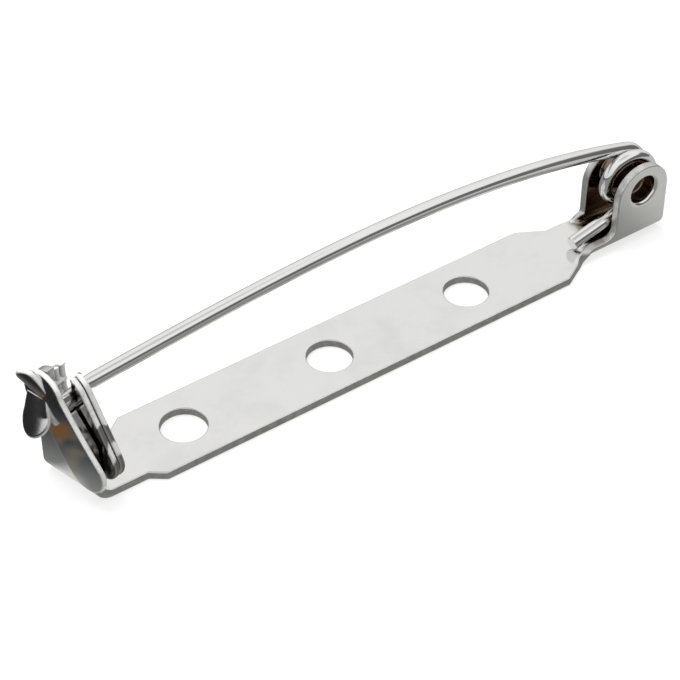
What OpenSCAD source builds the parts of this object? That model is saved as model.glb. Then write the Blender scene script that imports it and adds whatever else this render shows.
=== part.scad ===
// Bar pin back for a brooch: a stamped base, a sprung pin wire and a turning lock.
// X runs along the bar, from the catch (-X) to the hinge (+X), Y points back and Z up.
// The origin is the middle hole's centre on the bar's underside. Sizes are in mm.

/* [Sheet and wire] */
// Thickness of the base sheet
sheet_t = 0.5; // [0.4:0.05:0.55]
// Diameter of the pin wire
wire_d = 0.8; // [0.7:0.05:0.8]

/* [Bar] */
// Width of the bar
bar_w = 5; // [4.4:0.1:6]
// X where the wide bar ends, on the catch side
bar_left = -11.7; // [-12:0.1:-11]
// X where the wide bar ends, on the hinge side
bar_right = 14.6; // [14:0.1:15]
// Distance between neighbouring holes
hole_pitch = 9.2; // [8:0.1:9.6]
// Diameter of the three holes
hole_d = 2.5; // [1.5:0.1:3]
// Width of the neck that carries the catch
neck_w = 3.8; // [3.4:0.1:4.2]

/* [Catch tab] */
// X of the catch tab's outer face
tab_x = -15.55; // [-15.7:0.05:-15.5]
// Outer radius of the fold that turns the neck up
fold_r = 1.0; // [0.8:0.1:1.2]
// Turn of the tab about the upright, with its back edge outwards
tab_turn = 14; // [12:1:15]
// Radius of the tab's round head
head_r = 1.8; // [1.7:0.05:1.8]
// Height at which the tab's leaning front edge would pass over the lock's axis
lip_z = 6.5; // [6.4:0.05:6.6]
// Lean of that front edge, down towards the front
lean = 52; // [50:1:54]

/* [Lock] */
// Distance of the lock's turning axis behind the bar's middle
lock_y = 0.4; // [0.38:0.01:0.42]
// Height of the lock's turning axis above the underside
lock_z = 5.65; // [5.6:0.01:5.7]
// Outer radius of the lock's tube
tube_r = 0.88; // [0.85:0.01:0.9]
// Inner radius of the lock's tube
tube_bore_r = 0.57; // [0.55:0.01:0.6]
// Width of the slot that lets the pin in
slot_w = 1.1; // [1.08:0.01:1.12]
// Thickness of the lock's plates
plate_t = 0.33; // [0.3:0.01:0.34]
// Forward reach of the two levers, from the lock's axis to the middle of their round ends
lever_y = -2.15; // [-2.2:0.05:-1.9]
// Drop of the levers, from the lock's axis to the middle of their round ends
lever_z = -3.2; // [-3.3:0.05:-3]
// Radius of the levers' round ends
lever_r = 1.25; // [1.1:0.05:1.25]
// Tilt of the large finger wing, outwards
large_wing_tilt = 27; // [20:1:28]
// Reach of the large wing from the lock's axis
large_wing = 1.9; // [1.7:0.1:2]
// Tilt of the small finger wing, outwards
small_wing_tilt = 14; // [8:1:16]
// Reach of the small wing from the lock's axis
small_wing = 2.4; // [2:0.1:2.5]

/* [Hinge] */
// X of the hinge axis
hinge_x = 20.45; // [20.2:0.05:20.6]
// Height of the hinge axis above the underside
hinge_z = 3.45; // [3.4:0.05:3.5]
// Outside width of the hinge channel
channel_w = 3.2; // [3.2:0.1:3.6]
// Outer radius of the channel's two folds
channel_r = 1.0; // [0.8:0.1:1.1]
// Radius of an ear's round top
ear_r = 1.8; // [1.7:0.05:1.9]
// Distance between the inner ends of the two pressed bosses
boss_gap = 0.7; // [0.5:0.1:1]
// Radius of the hollow in a boss
boss_hollow_r = 0.7; // [0.6:0.05:0.75]

/* [Pin] */
// Radius of the coil, at the middle of the wire
coil_r = 1.45; // [1.42:0.01:1.48]
// Sideways step of the coil for each turn
coil_pitch = 0.88; // [0.86:0.01:0.9]
// X of the pin's point
tip_x = -15.9; // [-16:0.05:-15.8]
// Height of the pin's point
tip_z = 5.56; // [5.5:0.01:5.6]
// Distance of the pin's point behind the bar's middle
tip_y = 0.5; // [0.45:0.01:0.55]
// Length of the tapered point
taper = 1.6; // [1:0.1:2]
// X of the cut end of the coil's tail
tail_x = 16.2; // [16:0.1:17]

/* [Hidden] */
round_fn = 96;
// Small overlap that joins touching solids, and the reach of a cutting block
weld = 0.01;
reach = 20;
// Running gaps of the lock in the tab and of the coil on the bosses
lock_gap = 0.07;
coil_gap = 0.06;
wire_r = wire_d / 2;
// Length of the fold's flat strip, and how far the neck's end stays inside it
strip = 0.3;
strip_in = 0.12;
strip_side = 0.03;
// Where the tab's neck starts to taper
neck_top = 2.9;
// The slot in the tab's head is narrower than the tube's
head_slot_w = 0.72;
// The lock's closed outer plate ends here, and its two inner plates start at inner_x and second_x
outer_x = tab_x - lock_gap;
inner_gap = 0.1;
plate_gap = 0.06;
inner_x = tab_x + sheet_t + inner_gap;
second_x = inner_x + plate_t + plate_gap;
// Radii of the plates where they go round the tube, and of the inner ones' round ends
outer_hub_r = 1.1;
inner_hub_r = 1.5;
inner_lever_r = 1.1;
// The outer plate's raised crown, from the lock's axis
crown_y = 0.5;
crown_z = 0.4;
crown_r = 1.35;
// The wings' half widths, directions and roots, and how far the large one stands behind the lock's axis
large_wing_r = 0.85;
large_wing_angle = -95;
large_wing_root = -0.3;
large_wing_shift = 0.65;
small_wing_r = 0.55;
small_wing_angle = 46;
small_wing_root = 0.4;
boss_r = coil_r - wire_r - coil_gap;
boss_length = channel_w / 2 - boss_gap / 2;
boss_floor = 0.25;
boss_flare = 0.22;
ear_x = hinge_x - 0.05;
ear_z = hinge_z - 0.2;
ear_left = ear_x - ear_r;
ear_right = ear_x + ear_r;
channel_in = channel_w / 2 - sheet_t;
// The shoulder ends here, and the channel's low flange rises from it
flange_start = bar_right + 1.6;
channel_left = flange_start - 0.4;
shoulder_w = 3.2;
// Root curves of the two ears: the far ear is lower and has nearly none
near_root = 0.7;
near_lip = 0.9;
far_root = 0.15;
far_drop = 0.35;

// A point of the catch end, seen from above, after its turn about the neck's front corner
function turned_point(x, y) = [
    tab_x + (x - tab_x) * cos(tab_turn) - (y + neck_w / 2) * sin(tab_turn),
    -neck_w / 2 + (x - tab_x) * sin(tab_turn) + (y + neck_w / 2) * cos(tab_turn)
];

// The same turn for solids: the fold, the tab and the lock
module turned() {
    translate([tab_x, -neck_w / 2, 0]) rotate([0, 0, tab_turn]) translate([-tab_x, neck_w / 2, 0]) children();
}

// Outline of the flat sheet, from above: neck, bar, shoulders and hinge neck
module bar_outline() {
    half = bar_w / 2;
    end_x = tab_x + fold_r + strip_in;
    end_half = neck_w / 2 - strip_side;
    polygon([
        turned_point(end_x, -end_half), [bar_left - 0.8, -neck_w / 2], [bar_left, -half],
        [bar_right, -half], [flange_start, -shoulder_w / 2], [flange_start + 1, -channel_w / 4],
        [flange_start + 1, channel_w / 4], [flange_start, shoulder_w / 2], [bar_right, half],
        [bar_left, half], [bar_left - 0.8, neck_w / 2], turned_point(end_x, end_half)
    ]);
}

module bar() {
    linear_extrude(sheet_t) difference() {
        bar_outline();
        for (i = [-1 : 1]) translate([i * hole_pitch, 0]) circle(d = hole_d, $fn = round_fn);
    }
}

// Turns a flat outline into a plate that stands across the bar: x becomes Y and y becomes Z
module across(x0, t) {
    translate([x0, 0, 0]) rotate([90, 0, 90]) linear_extrude(t) children();
}

// Quarter round that turns the neck up into the catch tab
module end_fold() {
    translate([tab_x + fold_r, neck_w / 2, fold_r]) rotate([90, 0, 0]) intersection() {
        difference() {
            cylinder(r = fold_r, h = neck_w, $fn = round_fn);
            translate([0, 0, -1]) cylinder(r = fold_r - sheet_t, h = neck_w + 2, $fn = round_fn);
        }
        translate([-fold_r - 1, -fold_r - 1, 0]) cube([fold_r + 1, fold_r + 1, neck_w]);
    }
    // A short flat strip that runs into the neck
    translate([tab_x + fold_r, -neck_w / 2, 0]) cube([strip, neck_w, sheet_t]);
}

// Upright tab: a tapering neck and a round head that hooks round the lock's tube
module catch_tab() {
    half = neck_w / 2;
    across(tab_x, sheet_t) difference() {
        union() {
            polygon([[-half, fold_r], [half, fold_r], [half, neck_top], [lock_y + head_r - 0.1, lock_z - 0.5],
                     [lock_y - head_r + 0.1, lock_z - 0.5], [-half, neck_top]]);
            translate([lock_y, lock_z]) circle(r = head_r, $fn = round_fn);
        }
        translate([lock_y, lock_z]) circle(r = tube_r + lock_gap, $fn = round_fn);
        translate([lock_y - head_slot_w / 2, lock_z]) square([head_slot_w, reach]);
        // The front edge leans back, so that the pin can be pressed in from above
        polygon([[lock_y, lip_z], [lock_y, reach], [-reach, reach], [-reach, lip_z - reach * tan(lean)]]);
    }
}

// Section of a U channel: flat floor, two round folds and upright sides
module channel_section(half, floor_z, r) {
    for (side = [-1, 1]) translate([side * (half - r), floor_z + r]) circle(r = r, $fn = round_fn);
    translate([-half, floor_z + r]) square([2 * half, reach]);
    translate([-(half - r), floor_z]) square([2 * (half - r), 2 * r]);
}

// Side view of one half of the hinge end: low flange, root curve and a round-topped ear
module ear_outline(top_z, root, lip_h) {
    translate([ear_x, top_z]) circle(r = ear_r, $fn = round_fn);
    translate([ear_left, -1]) square([2 * ear_r, top_z + 1]);
    polygon([[channel_left, -1], [channel_left, sheet_t], [ear_left - root, lip_h],
             [ear_left + weld, lip_h], [ear_left + weld, -1]]);
    difference() {
        translate([ear_left - root, lip_h - weld]) square([root + weld, root]);
        translate([ear_left - root, lip_h + root]) circle(r = root, $fn = round_fn);
    }
}

// Places what stands on an ear's outer face and points inwards along the hinge axis
module on_ear(side) {
    translate([hinge_x, side * (channel_w / 2), hinge_z]) rotate([side * 90, 0, 0]) children();
}

// Boss pressed inwards from one ear, that the coil turns on
module boss_body(side) {
    on_ear(side) cylinder(r = boss_r, h = boss_length, $fn = round_fn);
}

// The boss's blind hollow, with a flared mouth on the ear's outer face
module boss_hollow(side) {
    on_ear(side) {
        translate([0, 0, -1]) cylinder(r = boss_hollow_r, h = 1 + boss_length - boss_floor, $fn = round_fn);
        translate([0, 0, -weld])
            cylinder(r1 = boss_hollow_r + boss_flare, r2 = boss_hollow_r, h = boss_flare, $fn = round_fn);
    }
}

module hinge_channel() {
    intersection() {
        union() {
            rotate([90, 0, 0]) linear_extrude(reach) ear_outline(ear_z, near_root, near_lip);
            translate([0, reach, 0]) rotate([90, 0, 0]) linear_extrude(reach)
                ear_outline(ear_z - far_drop, far_root, sheet_t + weld);
        }
        across(channel_left, ear_right - channel_left + 1) difference() {
            channel_section(channel_w / 2, 0, channel_r);
            channel_section(channel_in, sheet_t, channel_r - sheet_t);
        }
    }
}

module base() {
    color("gainsboro") difference() {
        union() {
            bar();
            turned() {
                end_fold();
                catch_tab();
            }
            hinge_channel();
            for (side = [-1, 1]) boss_body(side);
        }
        for (side = [-1, 1]) boss_hollow(side);
    }
}

// Ring round the lock's axis
module hub(r) {
    translate([lock_y, lock_z]) circle(r = r, $fn = round_fn);
}

// Lever outline: a hub, a straight arm and a round end that hangs towards the front
module lever(hub_r, end_r) {
    arm = norm([lever_y, lever_z]);
    translate([lock_y, lock_z]) {
        circle(r = hub_r, $fn = round_fn);
        translate([lever_y, lever_z]) circle(r = end_r, $fn = round_fn);
        rotate(atan2(lever_z, lever_y)) polygon([[0, -hub_r], [arm, -end_r], [arm, end_r], [0, hub_r]]);
    }
}

// Finger wing: a round-ended petal that leans out from the lock's outer plate
module wing(angle, root, shift, span, r, tilt) {
    run = span - r - root;
    translate([outer_x, lock_y, lock_z]) rotate([90, 0, 90]) rotate(angle) translate([root, shift, 0])
        rotate([0, tilt, 0]) translate([0, 0, -plate_t]) linear_extrude(plate_t) {
            translate([run, 0]) circle(r = r, $fn = round_fn);
            translate([0, -r]) square([run, 2 * r]);
        }
}

module lock() {
    color("lightsteelblue") turned() {
        difference() {
            union() {
                across(inner_x, plate_t) lever(inner_hub_r, inner_lever_r);
                across(second_x, plate_t) lever(inner_hub_r, inner_lever_r);
                across(outer_x - weld, second_x + plate_t - outer_x + weld) hub(tube_r);
            }
            across(outer_x, reach) {
                hub(tube_bore_r);
                translate([lock_y - slot_w / 2, lock_z]) square([slot_w, reach]);
            }
        }
        // The outer plate is closed and carries the wings
        across(outer_x - plate_t, plate_t) {
            lever(outer_hub_r, lever_r);
            translate([lock_y + crown_y, lock_z + crown_z]) circle(r = crown_r, $fn = round_fn);
        }
        wing(large_wing_angle, large_wing_root, large_wing_shift, large_wing, large_wing_r, large_wing_tilt);
        wing(small_wing_angle, small_wing_root, 0, small_wing, small_wing_r, small_wing_tilt);
    }
}

// Angles round the coil are measured from the top, over towards +X
leg_angle = 17.5;
tail_angle = 360 + 166.5;
coil_y0 = channel_in - wire_r - 0.06;
coil_steps = 52;
leg_steps = 26;
tail_steps = 4;
wire_sides = 12;
// Heights of the two middle handles of the leg's curve
leg_rise = 8.45;
leg_fall = 6.91;

function coil_y(a) = coil_y0 - coil_pitch * (a - leg_angle) / 360;
function coil_point(a) = [hinge_x + coil_r * sin(a), coil_y(a), hinge_z + coil_r * cos(a)];
function mix(a, b, t) = a + (b - a) * t;
function cubic(a, b, c, d, t) =
    a * pow(1 - t, 3) + 3 * b * pow(1 - t, 2) * t + 3 * c * (1 - t) * t * t + d * pow(t, 3);

// The leg is a shallow arch from the coil's top to the point
leg_start = coil_point(leg_angle);
function leg_point(t) = [
    mix(leg_start[0], tip_x, t), mix(leg_start[1], tip_y, t),
    cubic(leg_start[2], leg_rise, leg_fall, tip_z, t)
];

// The tail runs straight off the coil's underside to its cut end
tail_start = coil_point(tail_angle);
tail_run = tail_start[0] - tail_x;
tail_end = [tail_x, tail_start[1], tail_start[2] + tail_run * tan(tail_angle - 360 - 180)];

leg_length = leg_start[0] - tip_x;
// Stations along the leg grow closer over the taper
leg_ts = concat([for (i = [1 : leg_steps]) (1 - taper / leg_length) * i / leg_steps],
                [for (i = [1 : 3]) 1 - taper / leg_length * (1 - i / 3)]);
path = concat(
    [for (i = [0 : tail_steps - 1]) mix(tail_end, tail_start, i / tail_steps)],
    [for (i = [0 : coil_steps]) coil_point(mix(tail_angle, leg_angle, i / coil_steps))],
    [for (t = leg_ts) leg_point(t)]
);
last = len(path) - 1;
function station_r(i) = i > last - 3 ? mix(wire_r, 0.1, (i - last + 3) / 3) : wire_r;

function unit(v) = v / norm(v);
function heading(i) = unit(path[min(i + 1, last)] - path[max(i - 1, 0)]);
function ring(i) =
    let (ahead = heading(i), side = unit(cross([0, 1, 0], ahead)), up = cross(ahead, side))
    [for (k = [0 : wire_sides - 1])
        let (a = 360 * k / wire_sides) path[i] + station_r(i) * (side * cos(a) + up * sin(a))];

module pin_wire() {
    points = [for (i = [0 : last]) each ring(i)];
    walls = [for (i = [0 : last - 1]) for (k = [0 : wire_sides - 1])
        let (n = (k + 1) % wire_sides, a = i * wire_sides, b = a + wire_sides)
        [a + k, b + k, b + n, a + n]];
    ends = [[for (k = [0 : wire_sides - 1]) k],
            [for (k = [wire_sides - 1 : -1 : 0]) last * wire_sides + k]];
    color("silver") polyhedron(points, concat(walls, ends), convexity = 8);
}

base();
pin_wire();
lock();
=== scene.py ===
"""Looks of a brooch pin finding: a stamped bar back, its sprung pin wire and its turning safety lock.

Every piece is bright plated sheet or drawn wire. A sheet piece is worked out as the press shop makes it: a flat blank
with rounded cut edges, then carried onto the surface that it is folded to. Lengths are in millimetres in the piece
classes, and become metres when a mesh is made.
"""

import logging
import math
from dataclasses import dataclass, field
from enum import Enum
from typing import Callable

import bmesh
import bpy
import numpy as np
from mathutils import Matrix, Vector
from mathutils.geometry import delaunay_2d_cdt


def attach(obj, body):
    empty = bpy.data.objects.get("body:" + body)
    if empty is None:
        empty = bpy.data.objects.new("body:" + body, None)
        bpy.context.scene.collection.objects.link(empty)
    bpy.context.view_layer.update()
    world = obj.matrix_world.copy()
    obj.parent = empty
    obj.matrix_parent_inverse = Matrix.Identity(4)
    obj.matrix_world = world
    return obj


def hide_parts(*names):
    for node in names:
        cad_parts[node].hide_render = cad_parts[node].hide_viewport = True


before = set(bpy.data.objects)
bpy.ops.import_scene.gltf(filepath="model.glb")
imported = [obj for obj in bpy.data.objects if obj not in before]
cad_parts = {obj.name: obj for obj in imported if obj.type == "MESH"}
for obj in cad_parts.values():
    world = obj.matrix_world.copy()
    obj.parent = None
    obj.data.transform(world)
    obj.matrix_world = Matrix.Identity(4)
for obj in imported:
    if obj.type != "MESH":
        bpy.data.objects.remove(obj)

LOG = logging.getLogger("brooch_pin")
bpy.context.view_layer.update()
MM = 0.001
CATCH_CORNER = (-15.55, -1.9)
CATCH_TURN = math.radians(14)
HINGE_AXIS = (0.02045, 0.0, 0.00345)
Array = np.ndarray
Surface = Callable[[Array, Array], Array]


class Body(Enum):
    """The bodies that pieces ride on."""

    BAR = "bar"
    PIN = "pin"
    LOCK = "safety_lock"


class Slot(Enum):
    """The record's material slots."""

    BASE = "base_metal"
    WIRE = "wire_metal"
    LOCK = "lock_metal"


# ---- flat curves ----


def arc(centre: tuple[float, float], radius: float, start: float, end: float, count: int = 48) -> Array:
    """Points on a circle: centre + radius * (cos a, sin a), for a from start to end.

    Args:
        centre: the circle's centre.
        radius: its radius.
        start: first angle in degrees.
        end: last angle in degrees; less than start runs clockwise.
        count: number of points.

    Returns:
        An array of count rows.
    """
    turn = np.radians(np.linspace(start, end, count))
    return np.array(centre) + radius * np.stack([np.cos(turn), np.sin(turn)], 1)


def resample(loop: Array, spacing: float) -> Array:
    """Closed loop with even spacing: each point is read off the loop at an equal share of its length.

    Args:
        loop: corner points of a closed curve.
        spacing: wanted distance between points.

    Returns:
        Evenly spaced points.
    """
    closed = np.vstack([loop, loop[:1]])
    run = np.concatenate([[0.0], np.cumsum(np.linalg.norm(np.diff(closed, axis=0), axis=1))])
    count = max(24, int(round(run[-1] / spacing)))
    at = np.linspace(0.0, run[-1], count, endpoint=False)
    return np.stack([np.interp(at, run, closed[:, 0]), np.interp(at, run, closed[:, 1])], 1)


def soften(loop: Array, sigma: float, spacing: float) -> Array:
    """Rounds a closed loop's corners: the loop is blurred along its length with a Gaussian of width sigma.

    Args:
        loop: corner points of a closed curve.
        sigma: width of the blur, about half the radius that a square corner gets.
        spacing: distance between the points of the result.

    Returns:
        Evenly spaced points of the rounded loop.
    """
    even = resample(loop, spacing)
    wave = 2 * np.pi * np.fft.fftfreq(len(even), d=spacing)
    blur = np.exp(-0.5 * (wave * sigma) ** 2)
    return np.fft.ifft(np.fft.fft(even[:, 0] + 1j * even[:, 1]) * blur).view(float).reshape(-1, 2)


def inset(loop: Array, distance: Array) -> Array:
    """Moves a loop into the material on its left: p + distance * n, with n square to the loop's tangent.

    Args:
        loop: closed loop, counter-clockwise round an outline and clockwise round a hole.
        distance: how far in, one value for each ring.

    Returns:
        An array of rings, each with as many points as the loop.
    """
    tangent = np.roll(loop, -1, 0) - np.roll(loop, 1, 0)
    tangent /= np.linalg.norm(tangent, axis=1, keepdims=True)
    left = np.stack([-tangent[:, 1], tangent[:, 0]], 1)
    return loop[None] + np.asarray(distance)[:, None, None] * left[None]


def holds(loop: Array, points: Array) -> Array:
    """Even-odd test: a point is inside when a ray from it crosses the loop an odd number of times.

    Args:
        loop: closed loop.
        points: points to test.

    Returns:
        One boolean for each point.
    """
    a, b = loop, np.roll(loop, -1, 0)
    px, py = points[:, :1], points[:, 1:]
    crosses = (a[:, 1] > py) != (b[:, 1] > py)
    rise = np.where(b[:, 1] == a[:, 1], 1.0, b[:, 1] - a[:, 1])
    return (crosses & (px < (b[:, 0] - a[:, 0]) * (py - a[:, 1]) / rise + a[:, 0])).sum(1) % 2 == 1


def turned(points: Array) -> Array:
    """Turns points about the upright line through the neck's front corner: (x cos a - y sin a, x sin a + y cos a, z).

    Args:
        points: places in the frame where the catch stands square across the bar.

    Returns:
        The places in the shared frame.
    """
    x, y = points[:, 0] - CATCH_CORNER[0], points[:, 1] - CATCH_CORNER[1]
    c, s = math.cos(CATCH_TURN), math.sin(CATCH_TURN)
    return np.stack([CATCH_CORNER[0] + x * c - y * s, CATCH_CORNER[1] + x * s + y * c, points[:, 2]], 1)


# ---- meshes ----


@dataclass
class Shell:
    """Vertices, faces and the cut-edge marks of one surface, all in millimetres."""

    points: Array
    tris: Array = field(default_factory=lambda: np.zeros((0, 3), int))
    quads: Array = field(default_factory=lambda: np.zeros((0, 4), int))
    cut: Array | None = None

    def marks(self) -> Array:
        """The cut-edge mark of each vertex, zero where none is set."""
        return np.zeros(len(self.points)) if self.cut is None else self.cut


def join(shells: list[Shell]) -> Shell:
    """Puts surfaces together in one, with the face numbers moved on by the points that come before.

    Args:
        shells: the surfaces.

    Returns:
        One surface with all their points and faces.
    """
    first = np.cumsum([0] + [len(s.points) for s in shells[:-1]])
    return Shell(
        np.vstack([s.points for s in shells]),
        np.vstack([s.tris + n for s, n in zip(shells, first)]),
        np.vstack([s.quads + n for s, n in zip(shells, first)]),
        np.concatenate([s.marks() for s in shells]),
    )


def net(rows: int, columns: int, closed: bool) -> Array:
    """Quads of a grid of points, numbered row by row.

    Args:
        rows: number of rows.
        columns: points in a row.
        closed: whether a row's last point joins its first.

    Returns:
        Four point numbers for each face.
    """
    across = np.arange(columns if closed else columns - 1)
    a = (np.arange(rows - 1) * columns)[:, None] + across[None]
    b = (np.arange(rows - 1) * columns)[:, None] + ((across + 1) % columns)[None]
    return np.stack([a, b, b + columns, a + columns], -1).reshape(-1, 4)


def wrap(flat: Array, surface: Surface) -> Array:
    """Carries a flat plate onto a curved surface: S(a, b) + w * n, with n the unit of dS/da x dS/db.

    Args:
        flat: points (a, b, w), with w measured from the sheet's middle.
        surface: gives the place of each (a, b) on the middle surface.

    Returns:
        The points in space.
    """
    step = 1e-4
    a, b, w = flat.T
    along = surface(a + step, b) - surface(a - step, b)
    over = surface(a, b + step) - surface(a, b - step)
    normal = np.cross(along, over)
    normal /= np.linalg.norm(normal, axis=1, keepdims=True)
    return surface(a, b) + w[:, None] * normal


@dataclass
class Blank:
    """A flat stamped blank: an outline with holes, a thickness and rounded cut edges.

    Attributes:
        outline: counter-clockwise loop.
        thickness: sheet thickness.
        rim: radius that rounds the cut edge.
        holes: clockwise loops whose edges are rounded like the outline.
        doors: clockwise loops left open, that another surface closes.
        lattice: extra points inside, so that the faces can follow a bend.
    """

    outline: Array
    thickness: float
    rim: float
    holes: list[Array] = field(default_factory=list)
    doors: list[Array] = field(default_factory=list)
    lattice: Array | None = None

    def edge_profile(self) -> tuple[Array, Array]:
        """Quarter round, wall and quarter round: inset r * (1 - cos a) and height t/2 - r + r * sin a.

        Returns:
            The insets and the heights, from the upper face to the lower.
        """
        a = np.radians(np.linspace(90, 0, 6))
        half = self.thickness / 2
        inwards = self.rim * (1 - np.cos(a))
        height = half - self.rim + self.rim * np.sin(a)
        return np.concatenate([inwards, [0.0], inwards[::-1]]), np.concatenate([height, [0.0], -height[::-1]])

    def rim_strip(self, loop: Array) -> Shell:
        """Carries the edge profile round one loop.

        Args:
            loop: the outline or a hole.

        Returns:
            The strip, with cut marks that are 1 on the wall and fade over its rounded corners.
        """
        inwards, height = self.edge_profile()
        rings = inset(loop, inwards)
        level = np.broadcast_to(height[:, None, None], rings.shape[:2] + (1,))
        points = np.concatenate([rings, level], -1).reshape(-1, 3)
        mark = np.repeat(1 - inwards / max(self.rim, 1e-6), len(loop))
        return Shell(points, quads=net(len(height), len(loop), True), cut=mark)

    def face(self) -> tuple[Array, Array]:
        """Triangles between the inset loops, with a second loop near each so that the flat stays flat.

        Returns:
            Flat points and triangles.
        """
        rimmed = [inset(loop, np.array([self.rim, self.rim + 0.05])) for loop in [self.outline, *self.holes]]
        fixed = [ring for pair in rimmed for ring in pair] + list(self.doors)
        first = np.cumsum([0] + [len(r) for r in fixed[:-1]])
        edges = [(int(n + i), int(n + (i + 1) % len(r))) for r, n in zip(fixed, first) for i in range(len(r))]
        if self.lattice is not None:
            keep = holds(inset(self.outline, np.array([self.rim + 0.09]))[0], self.lattice)
            for loop in [*self.holes, *self.doors]:
                keep &= ~holds(inset(loop, np.array([self.rim + 0.09]))[0], self.lattice)
            fixed.append(self.lattice[keep])
        flat = np.vstack(fixed)
        made = delaunay_2d_cdt([Vector(p) for p in flat], edges, [], 1, 1e-7)
        points = np.array([tuple(v) for v in made[0]])
        tris = np.array(made[2])
        middle = points[tris].mean(1)
        keep = holds(rimmed[0][0], middle)
        for loop in [pair[0] for pair in rimmed[1:]] + list(self.doors):
            keep &= ~holds(loop, middle)
        return points, tris[keep]

    def shell(self) -> Shell:
        """The whole flat plate as points (a, b, w), w from its middle, with faces pointing outwards."""
        points, tris = self.face()
        half = self.thickness / 2
        upper = Shell(np.column_stack([points, np.full(len(points), half)]), tris=tris)
        lower = Shell(np.column_stack([points, np.full(len(points), -half)]), tris=tris[:, ::-1])
        return join([upper, lower] + [self.rim_strip(loop) for loop in [self.outline, *self.holes]])

    def formed(self, surface: Surface) -> Shell:
        """The plate carried onto a surface.

        Args:
            surface: the sheet's middle surface.

        Returns:
            The plate in space.
        """
        flat = self.shell()
        return Shell(wrap(flat.points, surface), flat.tris, flat.quads, flat.cut)


def lattice(a: Array, b: Array) -> Array:
    """All pairs (a, b) of two lists of numbers, as points."""
    grid_a, grid_b = np.meshgrid(a, b, indexing="ij")
    return np.stack([grid_a.ravel(), grid_b.ravel()], 1)


def lathe(profile: Array, place: Callable[[Array, Array, Array], Array], sides: int) -> Shell:
    """Turns a profile (r, d) about an axis: place(r * cos a, r * sin a, d), and closes it at its last point.

    Args:
        profile: radii and depths, ending on the axis.
        place: puts two cross-axis lengths and a depth in space.
        sides: points in a ring.

    Returns:
        The turned surface.
    """
    turn = np.linspace(0, 2 * np.pi, sides, endpoint=False)
    r, d = profile[:-1, :1], profile[:-1, 1:]
    rings = place((r * np.cos(turn)).ravel(), (r * np.sin(turn)).ravel(), (d + 0 * turn).ravel())
    pole = place(np.zeros(1), np.zeros(1), profile[-1:, 1])
    last = (len(profile) - 2) * sides + np.arange(sides)
    fan = np.stack([last, np.roll(last, -1), np.full(sides, len(rings))], 1)
    return Shell(np.vstack([rings, pole]), tris=fan, quads=net(len(profile) - 1, sides, True))


def build_mesh(name: str, shell: Shell, material: bpy.types.Material) -> bpy.types.Object:
    """Makes a smooth object from a surface: joined seams, outward faces, metres, and its cut marks as an attribute.

    Args:
        name: the object's name.
        shell: points and faces in millimetres.
        material: its finish.

    Returns:
        The linked object, at the origin.
    """
    mesh = bpy.data.meshes.new(name)
    quads, tris = shell.quads, shell.tris
    corners = np.concatenate([quads.ravel(), tris.ravel()]).astype(np.int32)
    totals = np.concatenate([np.full(len(quads), 4), np.full(len(tris), 3)]).astype(np.int32)
    mesh.vertices.add(len(shell.points))
    mesh.vertices.foreach_set("co", shell.points.astype(np.float32).ravel())
    mesh.loops.add(len(corners))
    mesh.loops.foreach_set("vertex_index", corners)
    mesh.polygons.add(len(totals))
    mesh.polygons.foreach_set("loop_start", np.concatenate([[0], np.cumsum(totals)[:-1]]).astype(np.int32))
    mesh.polygons.foreach_set("loop_total", totals)
    mark = mesh.attributes.new("cut_edge", "FLOAT", "POINT")
    mark.data.foreach_set("value", shell.marks().astype(np.float32))
    mesh.update(calc_edges=True)
    mesh.validate()
    work = bmesh.new()
    work.from_mesh(mesh)
    bmesh.ops.remove_doubles(work, verts=work.verts, dist=0.0008)
    bmesh.ops.dissolve_degenerate(work, edges=work.edges, dist=0.0002)
    bmesh.ops.recalc_face_normals(work, faces=work.faces)
    bmesh.ops.scale(work, vec=(MM, MM, MM), verts=work.verts)
    for each in work.faces:
        each.smooth = True
    work.to_mesh(mesh)
    work.free()
    mesh.materials.append(material)
    made = bpy.data.objects.new(name, mesh)
    bpy.context.scene.collection.objects.link(made)
    return made


# ---- finishes ----


Colour = tuple[float, float, float, float]
Stretch = tuple[float, float]


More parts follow.
